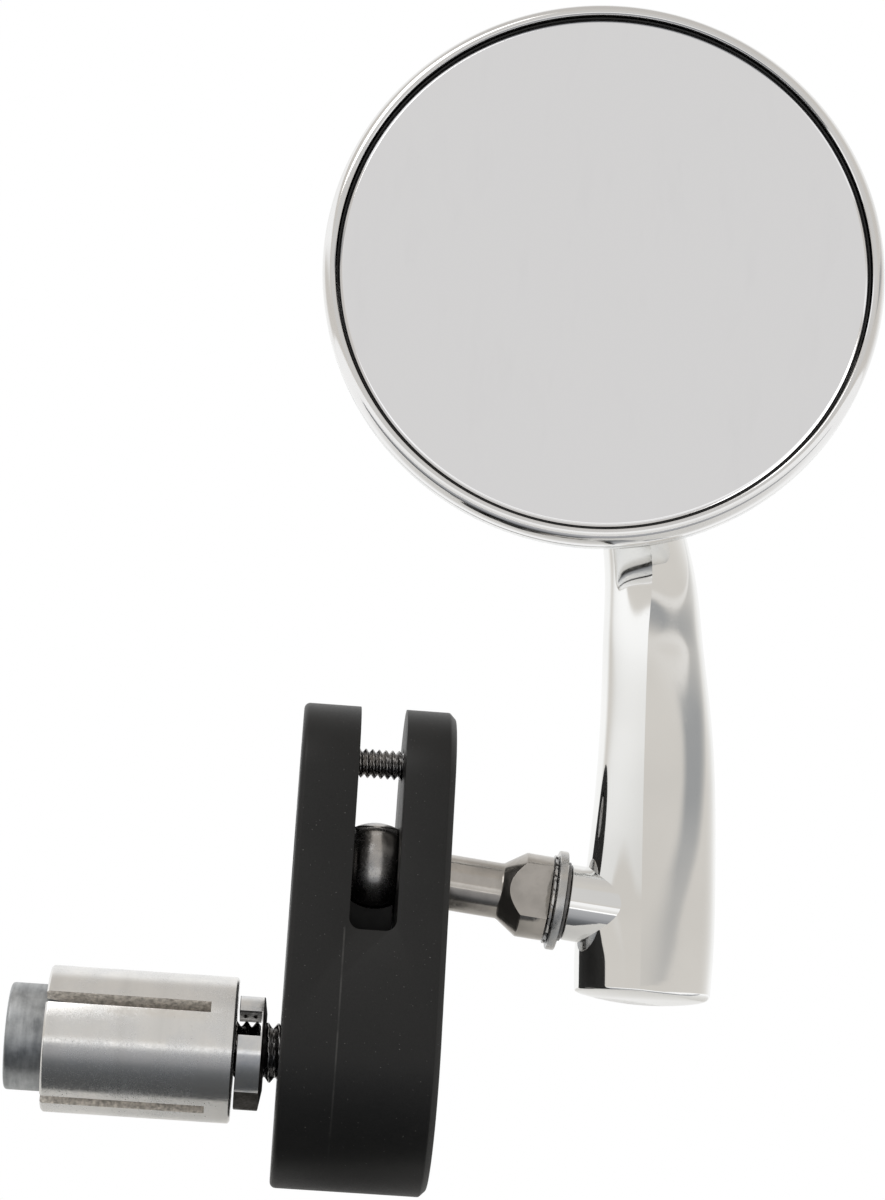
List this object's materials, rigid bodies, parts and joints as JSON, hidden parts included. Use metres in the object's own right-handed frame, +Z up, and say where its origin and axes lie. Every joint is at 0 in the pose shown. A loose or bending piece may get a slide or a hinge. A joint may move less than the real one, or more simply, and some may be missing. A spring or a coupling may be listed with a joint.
{
  "type": "bar end mirror",
  "caption": "Round bar-end rear-view mirror: expanding handlebar insert, split clamp arm, ball stud, polished stem and round glass in a bezel.",
  "frame": {"origin": "on the handlebar's axis, at the clamp arm's face that the end of the bar butts against", "axes": "+X along the handlebar, from the bar out to the mirror's side; +Z up the clamp arm; -Y the way the glass faces"},
  "size_m": [0.1119, 0.0352, 0.1664],
  "materials": {
    "black_anodised": "matte black anodised, finely blasted",
    "polished_aluminium": "mirror polished",
    "machined_aluminium": "bright, machined",
    "satin_aluminium": "satin polished",
    "cast_zinc": "as cast, dull grey",
    "stainless": "turned stainless steel",
    "dark_steel": "black oxide steel",
    "mirror_glass": "silvered glass",
    "rubber": "matte black",
    "foam": "closed-cell foam"
  },
  "bodies": {
    "arm": {"clamp_arm": "black_anodised", "ball_retainer_plug": "dark_steel", "ball_cup": "rubber", "bar_bolt_washer": "stainless", "slotted_nut": "machined_aluminium", "expansion_sleeve": "machined_aluminium"},
    "bar_bolt": {"bar_bolt": "dark_steel"},
    "wedge": {"wedge_nut": "cast_zinc"},
    "pinch_washer": {"pinch_washer": "stainless"},
    "pinch_screw": {"pinch_screw": "dark_steel"},
    "ball": {"ball": "stainless"},
    "stud": {"ball_stud": "stainless", "tooth_washer": "dark_steel", "flange_washer": "stainless", "thin_washer": "dark_steel"},
    "mirror": {"mirror_stem": "polished_aluminium", "stem_screw": "dark_steel", "stem_screw_washer": "stainless", "locating_pin": "stainless", "head_shell": "satin_aluminium", "bezel_ring": "satin_aluminium", "seal_ring": "rubber", "mirror_glass": "mirror_glass", "backing_plate": "dark_steel", "foam_pad": "foam"}
  },
  "joints": [
    {"name": "bar_bolt_turn", "type": "hinge", "parent": "arm", "child": "bar_bolt", "pos_m": [0, 0, 0], "axis": [-1, 0, 0], "range_deg": [-360, 720]},
    {"name": "wedge_slide", "type": "slide", "parent": "arm", "child": "wedge", "axis": [1, 0, 0], "range_m": [-0.0015, 0.0029]},
    {"name": "pinch_slide", "type": "slide", "parent": "arm", "child": "pinch_washer", "axis": [1, 0, 0], "range_m": [0, 0.0032]},
    {"name": "pinch_screw_turn", "type": "hinge", "parent": "pinch_washer", "child": "pinch_screw", "pos_m": [0, 0, 0.0397], "axis": [1, 0, 0], "range_deg": [0, 1444]},
    {"name": "ball_pan", "type": "hinge", "parent": "arm", "child": "ball", "pos_m": [0.011, 0, 0.0253], "axis": [0, 0, 1], "range_deg": [-8.5, 8.5]},
    {"name": "ball_tilt", "type": "hinge", "parent": "ball", "child": "stud", "pos_m": [0.011, 0, 0.0253], "axis": [0, 1, 0], "range_deg": [-14.5, 3.5]},
    {"name": "stem_spin", "type": "hinge", "parent": "stud", "child": "mirror", "pos_m": [0.011, 0, 0.0253], "axis": [0.9954, 0, -0.0958], "range_deg": [-120, 120]}
  ],
  "couplings": [
    {"joint": "wedge_slide", "follows": "bar_bolt_turn", "m_per_rad": 0.00022457},
    {"joint": "pinch_screw_turn", "follows": "pinch_slide", "rad_per_m": 7854}
  ]
}
